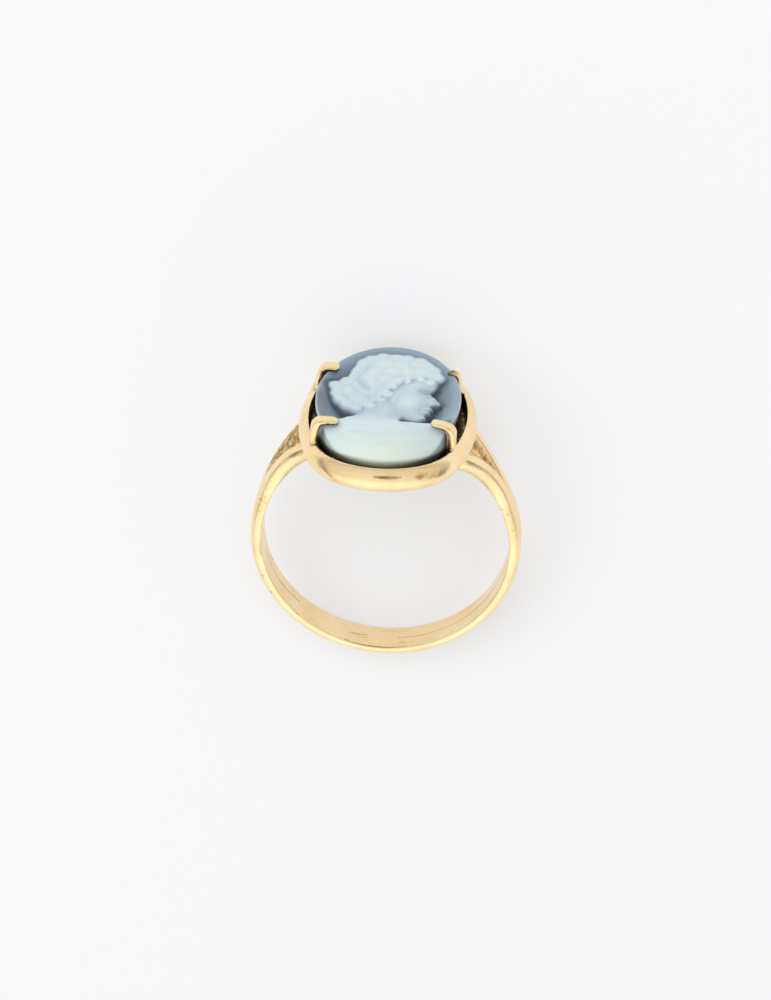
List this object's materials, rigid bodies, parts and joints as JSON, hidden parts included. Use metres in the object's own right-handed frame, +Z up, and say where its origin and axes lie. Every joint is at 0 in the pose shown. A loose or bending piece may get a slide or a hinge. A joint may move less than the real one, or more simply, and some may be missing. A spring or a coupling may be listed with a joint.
{
  "type": "cameo ring",
  "caption": "Finger ring with a band of soldered round strands that part at the shoulders, and an oval collar whose claws hold a layered agate carved with a classical bust",
  "frame": {"origin": "middle of the ring's outer box, on the surface that the ring lies on", "axes": "+X across the finger hole, +Y from the head towards the bottom of the band, +Z up from the surface; the finger's axis leans 20 degrees from +Z"},
  "size_m": [0.0188, 0.022, 0.0146],
  "materials": {
    "gold": "polished pale yellow gold, with fine scratches, small pits and dull hollows by the solder",
    "agate": "layered agate with a soft polish, a milky pale blue carved layer over a grey-blue one"
  },
  "bodies": {
    "root": {"ring_mount": "gold", "cameo_stone": "agate"}
  },
  "joints": []
}
